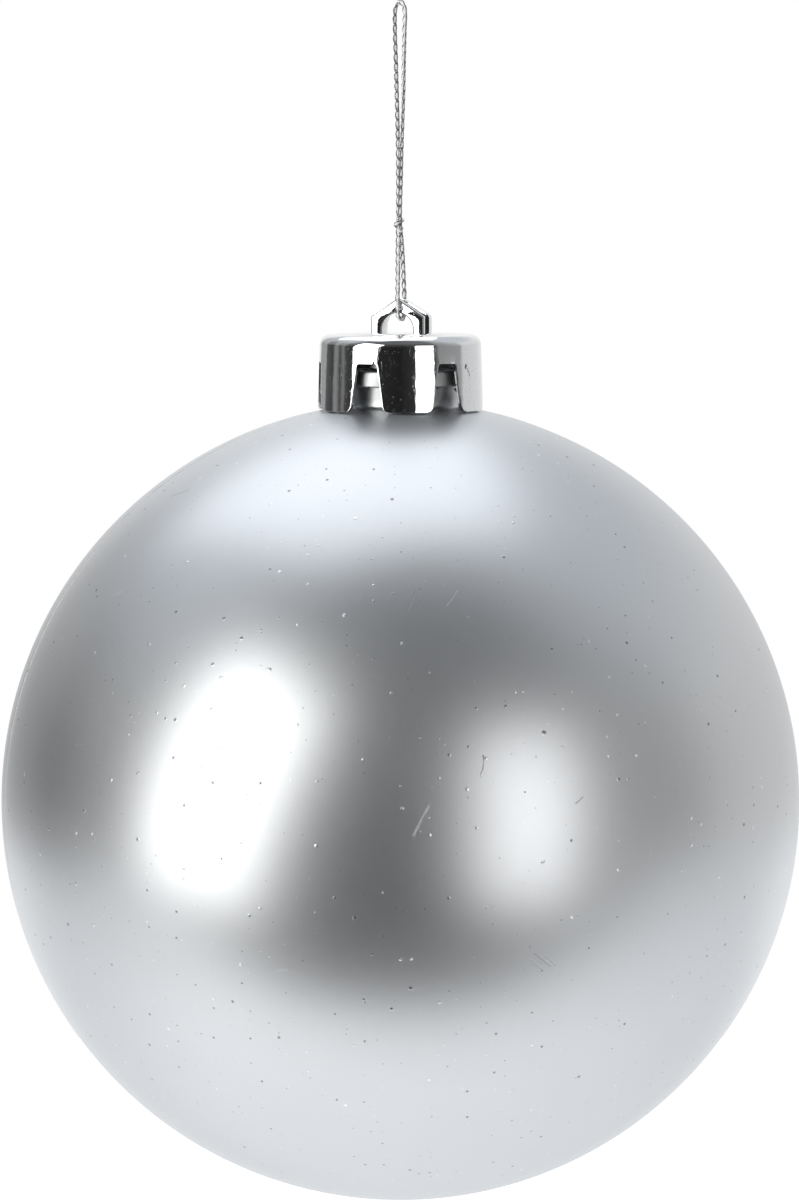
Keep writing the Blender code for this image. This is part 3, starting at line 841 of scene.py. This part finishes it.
def cap_section(settings):
    """The section of the cap: its top, rounded edge and flared skirt, and back up the inside."""
    edge = settings.edge_round
    foot = -settings.height
    foot_radius = settings.radius + settings.flare
    inner = settings.radius - settings.wall
    heights = [-SLOT_DROP - SLOT_ROUND * i / 2 for i in range(3)]
    last = foot + TAB_CORNER
    heights += [heights[-1] + (last - heights[-1]) * i / SKIRT_ROWS for i in range(1, SKIRT_ROWS + 1)]
    for i in range(1, CORNER_ROWS):
        heights.append(last - TAB_CORNER * math.sin(math.radians(60) * i / (CORNER_ROWS - 1)))

    def outside(height):
        return settings.radius + settings.flare * (height + edge) / (foot + edge)

    section = Section((0.0, TOP_STEP))
    section.run(0.0090, TOP_STEP)
    section.run(0.0091, TOP_STEP / 3)
    section.run(0.0118, TOP_STEP / 3)
    section.run(0.0119, 0.0)
    section.run(settings.radius - edge, 0.0)
    section.swing((settings.radius - edge, -edge), -90.0, EDGE_STEPS)
    for height in heights:
        section.run(outside(height), height)
    section.run(foot_radius, foot)
    section.run(foot_radius - settings.wall, foot)
    for height in reversed(heights):
        section.run(outside(height) - settings.wall, height)
    inside_top = -settings.top - CAP_INSIDE_ROUND
    section.run(inner, inside_top)
    section.swing((inner - CAP_INSIDE_ROUND, inside_top), 90.0, ROUND_STEPS)
    section.run(0.0, -settings.top)
    return section.bm


def slot_half_width(height, settings):
    """Half of a slot's width at a height below the cap's top, with its rounded corners."""
    half_top = settings.slot_width / 2
    half_foot = SLOT_FOOT_WIDTH / 2
    corner_height = -settings.height + TAB_CORNER
    if height < corner_height:
        down = min(TAB_CORNER, corner_height - height)
        return half_foot + TAB_CORNER - math.sqrt(TAB_CORNER**2 - down**2)
    top = -SLOT_DROP - SLOT_ROUND
    if height > top:
        up = min(SLOT_ROUND, height - top)
        return half_top - SLOT_ROUND + math.sqrt(SLOT_ROUND**2 - up**2)
    return half_top + (half_foot - half_top) * (top - height) / (top - corner_height)


def cut_slots(bm, settings):
    """Opens the six slots in the closed cup and slants their sides, which leaves six tabs."""
    pitch = 2.0 * math.pi / TAB_COUNT
    columns = SLOT_COLUMNS + TAB_COLUMNS
    slot_edge = pitch / 2 * SLOT_COLUMNS / columns
    below = -SLOT_DROP - MERGE

    def from_slot(point):
        """The turn from the nearest slot's middle."""
        turn = math.atan2(point.x, -point.y) - SLOT_TURN
        return (turn + pitch / 2) % pitch - pitch / 2

    inside = []
    for face in bm.faces:
        middle = face.calc_center_median()
        if middle.z < below and abs(from_slot(middle)) < slot_edge:
            inside.append(face)
    bmesh.ops.delete(bm, geom=inside, context="FACES")

    for vert in bm.verts:
        if vert.co.z > -SLOT_DROP + MERGE:
            continue
        radius = math.hypot(vert.co.x, vert.co.y)
        turn = from_slot(vert.co)
        new_edge = math.asin(slot_half_width(vert.co.z, settings) / radius)
        if abs(turn) <= slot_edge:
            new = abs(turn) / slot_edge * new_edge
        else:
            share = (abs(turn) - slot_edge) / (pitch / 2 - slot_edge)
            new = new_edge + (pitch / 2 - new_edge) * share
        change = math.copysign(new, turn) - turn
        vert.co.rotate(Matrix.Rotation(change, 3, "Z"))

    open_edges = [e for e in bm.edges if e.is_boundary]
    foot = -settings.height
    sides = [e for e in open_edges if not all(abs(v.co.z - foot) < MERGE for v in e.verts)]
    for i in range(TAB_COUNT):
        around = Matrix.Rotation(-SLOT_TURN - i * pitch, 3, "Z")
        here = []
        for edge in sides:
            middle = around @ ((edge.verts[0].co + edge.verts[1].co) / 2)
            if abs(math.atan2(middle.x, -middle.y)) < pitch / 2:
                here.append(edge)
        bmesh.ops.bridge_loops(bm, edges=here)


def cup(settings):
    """The cap's cup with its six tabs."""
    bm = cap_section(settings)
    start = Matrix.Rotation(SLOT_TURN - math.pi / 2, 4, "Z")
    bmesh.ops.transform(bm, matrix=start, verts=bm.verts)
    columns = SLOT_COLUMNS + TAB_COLUMNS
    bmesh.ops.spin(
        bm,
        geom=bm.verts[:] + bm.edges[:],
        cent=(0.0, 0.0, 0.0),
        axis=(0.0, 0.0, 1.0),
        angle=2.0 * math.pi,
        steps=TAB_COUNT * columns,
        use_merge=True,
    )
    closed_up(bm)
    cut_slots(bm, settings)
    bmesh.ops.recalc_face_normals(bm, faces=bm.faces)
    rounded_edges(bm, sharp_edges(bm, 50.0), settings.bevel, 2)
    return bm


def add_hooks(bm, settings):
    """One catch hook in the middle of each tab's inner side: flat on top and ramped below."""
    pitch = 2.0 * math.pi / TAB_COUNT
    neck_foot = math.sqrt(BALL_RADIUS**2 - NECK_RADIUS**2)
    ring_foot = BALL_CENTRE.z + neck_foot + LOWER_NECK_HEIGHT - CAP_TOP.z
    top = ring_foot - GAP
    root = settings.radius + settings.flare - settings.wall / 2
    tip = top - HOOK_TIP
    outline = ((root, top), (root, tip - HOOK_RAMP), (HOOK_RADIUS, tip), (HOOK_RADIUS, top))
    for i in range(TAB_COUNT):
        side = [bm.verts.new((r, -HOOK_WIDTH / 2, z)) for r, z in outline]
        face = bm.faces.new(side)
        pushed = bmesh.ops.extrude_face_region(bm, geom=[face])["geom"]
        far = [g for g in pushed if isinstance(g, bmesh.types.BMVert)]
        bmesh.ops.translate(bm, verts=far, vec=(0.0, HOOK_WIDTH, 0.0))
        hook = side + far
        faces = list({f for v in hook for f in v.link_faces})
        bmesh.ops.recalc_face_normals(bm, faces=faces)
        turn = SLOT_TURN + pitch * (i + 0.5) - math.pi / 2
        bmesh.ops.transform(bm, matrix=Matrix.Rotation(turn, 4, "Z"), verts=hook)


def eye_outline(bm, y, half_width, eaves, height, corner):
    """The eye's closed outline at a depth: upright walls, eaves, a gable, and an arch open below."""
    slope = math.atan2(height - eaves, half_width)
    drop = corner * math.tan((math.pi / 2 - slope) / 2)
    right = [(half_width, -EYE_ROOT)]
    for i in range(ROUND_STEPS + 1):
        angle = (math.pi / 2 - slope) * i / ROUND_STEPS
        across = half_width - corner + corner * math.cos(angle)
        right.append((across, eaves - drop + corner * math.sin(angle)))
    spring = EYE_HOLE_TOP - EYE_HOLE_RADIUS
    arch = []
    for i in range(2 * EDGE_STEPS + 1):
        angle = math.pi * i / (2 * EDGE_STEPS)
        arch.append((-EYE_HOLE_RADIUS * math.cos(angle), spring + EYE_HOLE_RADIUS * math.sin(angle)))
    left = [(-x, z) for x, z in reversed(right)]
    foot_left, foot_right = (-EYE_HOLE_RADIUS, -EYE_ROOT), (EYE_HOLE_RADIUS, -EYE_ROOT)
    points = [*right, (0.0, height), *left, foot_left, *arch, foot_right]
    verts = [bm.verts.new((x, y, z)) for x, z in points]
    return verts, [bm.edges.new((verts[i - 1], verts[i])) for i in range(len(verts))]


def eye(settings):
    """The upright eye: a sharp-edged front layer and a slightly larger, softer rear layer."""
    bm = bmesh.new()
    face = settings.eye_thickness / 2
    front = (EYE_HALF_WIDTH, EYE_EAVES, EYE_HEIGHT, EYE_CORNER)
    rear = (
        EYE_HALF_WIDTH + EYE_REAR_EXTRA,
        EYE_EAVES + EYE_REAR_RISE,
        EYE_HEIGHT + EYE_REAR_RISE,
        EYE_REAR_CORNER,
    )
    loops = [
        eye_outline(bm, -face, *front),
        eye_outline(bm, 0.0, *front),
        eye_outline(bm, 0.00002, *rear),
        eye_outline(bm, face, *rear),
    ]
    for (_, ring), (_, next_ring) in zip(loops, loops[1:]):
        bmesh.ops.bridge_loops(bm, edges=ring + next_ring)
    bm.faces.new(loops[0][0])
    bm.faces.new(loops[-1][0])
    bmesh.ops.recalc_face_normals(bm, faces=bm.faces)
    for depth, width in ((-face, settings.eye_bevel), (face, settings.eye_bevel)):
        rim = [e for e in sharp_edges(bm, 50.0) if all(abs(v.co.y - depth) < MERGE for v in e.verts)]
        above = [e for e in rim if max(v.co.z for v in e.verts) > -EYE_ROOT + MERGE]
        rounded_edges(bm, above, width, 3)
    bmesh.ops.transform(bm, matrix=Matrix.Rotation(EYE_TURN, 4, "Z"), verts=bm.verts)
    return bm


class ORNAMENT_OT_cap(bpy.types.Operator):
    """Build the push-on cap with its tabs, catch hooks and eye"""

    bl_idname = "ornament.cap"
    bl_label = "Cap"

    def execute(self, context):
        settings = context.scene.ornament_cap
        bm = cup(settings)
        add_hooks(bm, settings)
        upright = bpy.data.meshes.new("eye")
        eye(settings).to_mesh(upright)
        bm.from_mesh(upright)
        bpy.data.meshes.remove(upright)
        bmesh.ops.translate(bm, vec=CAP_TOP, verts=bm.verts)
        cap = finished("plated_cap", bm, plating_material(settings))
        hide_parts("cap")
        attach(cap, "cap")
        return {"FINISHED"}


# ---------------------------------------------------------------- cord and knot


def carried_frames(route, front, turn_every):
    """For each point of the route: its direction and two directions across it, turning slowly."""
    frames = []
    side = Vector(front)
    travelled = 0.0
    for i, point in enumerate(route):
        before, after = route[max(0, i - 1)], route[min(len(route) - 1, i + 1)]
        along = (after - before).normalized()
        side = (side - along * side.dot(along)).normalized()
        travelled += (point - before).length
        turned = Matrix.Rotation(2.0 * math.pi * travelled / turn_every, 3, along) @ side
        frames.append((point, along, turned, along.cross(turned)))
    return frames


def chain_stitched(route, settings, front, squeeze=1.0):
    """Meshes of a thread that is looped through itself along a route, and of the foil inside its loops."""
    spacing = (route[1] - route[0]).length
    length = spacing * (len(route) - 1)
    frames = carried_frames(route, front, settings.turn_every)
    count = round(length / settings.stitch)
    stitch = length / count
    width = settings.diameter * squeeze / (0.31 * 2 + settings.yarn / settings.diameter)

    def beside(stitches, across, out):
        reading = min(len(route) - 1.001, max(0.0, stitches * stitch / spacing))
        i = int(reading)
        point, _, outward, sideways = frames[i]
        point = point.lerp(frames[i + 1][0], reading - i)
        return point + (sideways * across + outward * out) * width

    loops = [beside(n + along, across, out) for n in range(count) for across, out, along in STITCH]
    thread_line = smooth_route(loops, settings.stitch * 2.6 / len(STITCH) / STITCH_READINGS)
    thread = tube(thread_line, settings.yarn * squeeze / 2, YARN_SIDES)
    foil_line = [beside(n + along, 0.0, 0.06) for n in range(count) for along, _ in FOIL_BEAD]
    shares = [share for _ in range(count) for _, share in FOIL_BEAD]
    foil = tube(foil_line, settings.bead * squeeze / 2, BEAD_SIDES, shares)
    return thread, foil


def tube(line, radius, sides, shares=None):
    """A tube along a line, whose radius is scaled by a share at each point."""
    curve = bpy.data.curves.new("tube", "CURVE")
    curve.dimensions = "3D"
    curve.bevel_depth = radius
    curve.bevel_resolution = (sides - 4) // 2
    curve.use_fill_caps = True
    spline = curve.splines.new("POLY")
    spline.points.add(len(line) - 1)
    for i, point in enumerate(spline.points):
        point.co = (*line[i], 1.0)
        point.radius = shares[i] if shares else 1.0
    guide = bpy.data.objects.new("tube", curve)
    bpy.context.scene.collection.objects.link(guide)
    graph = bpy.context.evaluated_depsgraph_get()
    mesh = bpy.data.meshes.new_from_object(guide.evaluated_get(graph))
    bpy.data.objects.remove(guide)
    bpy.data.curves.remove(curve)
    along = mesh.attributes.new("along_yarn", "FLOAT", "POINT")
    around = mesh.attributes.new("around_yarn", "FLOAT", "POINT")
    step = (line[1] - line[0]).length
    for i in range(len(mesh.vertices)):
        along.data[i].value = i // sides * step
        around.data[i].value = i % sides / sides
    return mesh


def cord_piece(name, meshes, materials):
    """One piece made of a thread and the foil inside it."""
    bm = bmesh.new()
    for i, mesh in enumerate(meshes):
        before = len(bm.faces)
        bm.from_mesh(mesh)
        bm.faces.ensure_lookup_table()
        for face in bm.faces[before:]:
            face.material_index = i
        bpy.data.meshes.remove(mesh)
    piece = finished(name, bm, materials[0], 180.0)
    piece.data.materials.append(materials[1])
    return piece


def knot_route():
    """A turn and a bit round both strands, wider on the left and tucked in at both ends."""
    turns = 1.3
    half_height = (KNOT_HIGH.z - KNOT_LOW.z) / 2 - 0.0005
    points = [KNOT_CENTRE + Vector((0.0003, 0.0001, -half_height - 0.0003))]
    steps = 14
    for i in range(steps + 1):
        share = i / steps
        angle = 2.0 * math.pi * turns * share + math.radians(-70)
        radius = 0.00056 + 0.00016 * math.sin(math.pi * share) - 0.00010 * math.cos(angle)
        height = half_height * (2.0 * share - 1.0)
        points.append(KNOT_CENTRE + Vector((radius * math.cos(angle), radius * math.sin(angle), height)))
    points.append(KNOT_CENTRE + Vector((0.0, 0.0001, half_height + 0.0003)))
    return points


class ORNAMENT_OT_cord(bpy.types.Operator):
    """Stitch the cord through the eye and round its loop, and tie its knot"""

    bl_idname = "ornament.cord"
    bl_label = "Cord"

    def execute(self, context):
        settings = context.scene.ornament_cord
        materials = (thread_material(settings), foil_material(settings))
        start = KNOT_CENTRE + Vector((-0.0002, -0.0002, -0.0002))
        middle = KNOT_CENTRE + Vector((0.0002, 0.0, 0.0))
        end = KNOT_CENTRE + Vector((0.0, 0.0003, 0.0002))
        route = smooth_route((start, *CORD_BELOW_KNOT, middle, *CORD_ABOVE_KNOT, end), 0.00012)
        meshes = chain_stitched(route, settings, (0.0, -1.0, 0.0))
        cord = cord_piece("metallic_cord", meshes, materials)
        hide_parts("cord_above_knot", "cord_below_knot")
        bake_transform(cord)

        wrap = smooth_route(knot_route(), 0.00012)
        meshes = chain_stitched(wrap, settings, (-1.0, 0.0, 0.0), 0.88)
        knot = cord_piece("overhand_knot", meshes, materials)
        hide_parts("cord_knot")
        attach(knot, "hanging_loop")
        return {"FINISHED"}


# ---------------------------------------------------------------- studio


def floor_material(settings):
    """Pale matt board with a faint mottle."""
    material, nodes, shader, place = new_material("pale_board")
    mottle = nodes.noise(place, 3.0, 4.0)
    base = (*settings.floor_colour, 1.0)
    darker = (*(0.97 * c for c in settings.floor_colour), 1.0)
    nodes.put(shader["Base Color"], nodes.colours(mottle, darker, base))
    away = nodes.node("ShaderNodeSeparateXYZ", {0: place}).outputs["Y"]
    nodes.put(shader["Emission Color"], (1.0, 1.0, 1.0, 1.0))
    nodes.put(shader["Emission Strength"], nodes.steps(away, 0.9, 2.4, 0.44, 0.80))
    shader["Roughness"].default_value = 0.7
    return material


# What stands round the ornament at its own height: (azimuth in degrees, brightness)
SURROUNDINGS = (
    (-180.0, 0.95),
    (-160.0, 0.85),
    (-152.0, 0.36),
    (-146.0, 0.34),
    (-132.0, 0.36),
    (-128.0, 0.10),
    (-112.0, 0.05),
    (-106.0, 0.26),
    (-100.0, 0.20),
    (-96.0, 0.06),
    (-88.0, 0.20),
    (-84.0, 0.06),
    (-70.0, 0.03),
    (0.0, 0.015),
    (50.0, 0.06),
    (58.0, 0.27),
    (94.0, 0.33),
    (100.0, 0.62),
    (140.0, 0.72),
    (180.0, 0.95),
)


def set_world():
    """Plain white to look at, and a studio's darker and lighter sides to reflect."""
    world = bpy.data.worlds.new("studio")
    bpy.context.scene.world = world
    world.use_nodes = True
    nodes = Nodes(world.node_tree)
    direction = nodes.node("ShaderNodeTexCoord").outputs["Generated"]
    parts = nodes.node("ShaderNodeSeparateXYZ", {0: direction}).outputs
    azimuth = nodes.math("ARCTAN2", parts["X"], nodes.times(parts["Y"], -1.0))
    share = nodes.plus(nodes.math("DIVIDE", azimuth, 2.0 * math.pi), 0.5)
    ramp = nodes.node("ShaderNodeValToRGB", {0: share})
    marks = ramp.color_ramp.elements
    for i, (turn, light) in enumerate(SURROUNDINGS):
        place = turn / 360.0 + 0.5
        mark = marks[i] if i < 2 else marks.new(place)
        mark.position = place
        mark.color = (light, light, light, 1.0)
    high = nodes.steps(parts["Z"], 0.30, 0.70)
    behind = nodes.steps(parts["Y"], -0.40, 0.10, 0.15, 1.0)
    overhead = nodes.times(high, behind)
    off_level = nodes.steps(nodes.math("ABSOLUTE", parts["Z"]), 0.06, 0.28)
    fill = nodes.times(nodes.times(off_level, behind), 0.20)
    seen = nodes.colours(fill, ramp.outputs[0], (1.0, 1.0, 1.0, 1.0))
    seen = nodes.colours(overhead, seen, (0.58, 0.61, 0.65, 1.0))
    camera = nodes.node("ShaderNodeLightPath").outputs["Is Camera Ray"]
    seen = nodes.colours(camera, seen, (1.0, 1.0, 1.0, 1.0))
    background = world.node_tree.nodes["Background"]
    nodes.put(background.inputs["Color"], seen)


# Soft boxes: name, azimuth, elevation, tilt, distance, width, height, brightness, colour
SOFT_BOXES = (
    ("left_box", -51.0, 9.0, 19.0, 0.90, 0.60, 1.05, 2.8, (1.0, 1.0, 0.985)),
    ("right_box", 34.5, 0.0, 0.0, 0.90, 0.44, 0.74, 1.9, (1.0, 1.0, 1.0)),
    ("top_box", 203.0, 71.0, 0.0, 0.90, 0.84, 0.94, 0.98, (0.93, 0.96, 1.0)),
)


def add_soft_box(name, azimuth, elevation, tilt, distance, width, height, brightness, colour):
    """A rectangular light that faces the ball's centre and shows in reflections only."""
    light = bpy.data.lights.new(name, "AREA")
    light.shape = "RECTANGLE"
    light.size = width
    light.size_y = height
    light.energy = brightness * math.pi * width * height
    light.color = colour
    box = bpy.data.objects.new(name, light)
    a, e = math.radians(azimuth), math.radians(elevation)
    away = Vector((math.sin(a) * math.cos(e), -math.cos(a) * math.cos(e), math.sin(e)))
    box.location = BALL_CENTRE + away * distance
    facing = away.to_track_quat("Z", "Y").to_matrix()
    box.rotation_euler = (facing @ Matrix.Rotation(math.radians(-tilt), 3, "Z")).to_euler()
    box.visible_camera = False
    bpy.context.scene.collection.objects.link(box)


class ORNAMENT_OT_studio(bpy.types.Operator):
    """Set up the pale floor, the soft lights and the camera"""

    bl_idname = "ornament.studio"
    bl_label = "Studio"

    def execute(self, context):
        settings = context.scene.ornament_studio
        bm = bmesh.new()
        bmesh.ops.create_grid(bm, x_segments=4, y_segments=4, size=1.0)
        bmesh.ops.scale(bm, vec=(2.6, 2.6, 1.0), verts=bm.verts)
        floor_z = BALL_CENTRE.z - settings.floor_drop
        bmesh.ops.translate(bm, vec=(0.0, 2.12, floor_z), verts=bm.verts)
        floor = finished("floor", bm, floor_material(settings))
        set_world()
        for box in SOFT_BOXES:
            add_soft_box(*box)

        camera = bpy.data.cameras.new("camera")
        camera.sensor_width = 36.0
        camera.lens = 240.0
        camera.clip_start = 0.05
        camera.clip_end = 20.0
        eye_point = bpy.data.objects.new("camera", camera)
        eye_point.location = (-0.00017, -settings.view_distance, settings.view_height)
        eye_point.rotation_euler = (math.radians(90.0 - 3.821), 0.0, 0.0)
        context.scene.collection.objects.link(eye_point)
        context.scene.camera = eye_point
        context.scene.view_settings.view_transform = "Standard"
        return {"FINISHED"}


# ---------------------------------------------------------------- add-on


class ORNAMENT_PT_panel(bpy.types.Panel):
    """The ornament's settings and the steps that build it"""

    bl_label = "Ball Ornament"
    bl_space_type = "VIEW_3D"
    bl_region_type = "UI"
    bl_category = "Ornament"

    def draw(self, context):
        scene = context.scene
        for step, settings in STEPS:
            box = self.layout.box()
            for name in settings.__annotations__:
                box.prop(getattr(scene, step), name)
            box.operator(step.replace("_", ".", 1))


STEPS = (
    ("ornament_ball", BallSettings),
    ("ornament_cap", CapSettings),
    ("ornament_cord", CordSettings),
    ("ornament_studio", StudioSettings),
)
CLASSES = (
    BallSettings,
    CapSettings,
    CordSettings,
    StudioSettings,
    ORNAMENT_OT_ball,
    ORNAMENT_OT_cap,
    ORNAMENT_OT_cord,
    ORNAMENT_OT_studio,
    ORNAMENT_PT_panel,
)


def register():
    for cls in CLASSES:
        bpy.utils.register_class(cls)
    for step, settings in STEPS:
        setattr(bpy.types.Scene, step, bpy.props.PointerProperty(type=settings))


def unregister():
    for step, _ in STEPS:
        delattr(bpy.types.Scene, step)
    for cls in reversed(CLASSES):
        bpy.utils.unregister_class(cls)


def main():
    register()
    add_moulding_group()
    add_specks_group()
    add_mark_group()
    bpy.ops.ornament.studio()
    bpy.ops.ornament.cord()
    bpy.ops.ornament.ball()
    bpy.ops.ornament.cap()


if __name__ == "__main__":
    main()
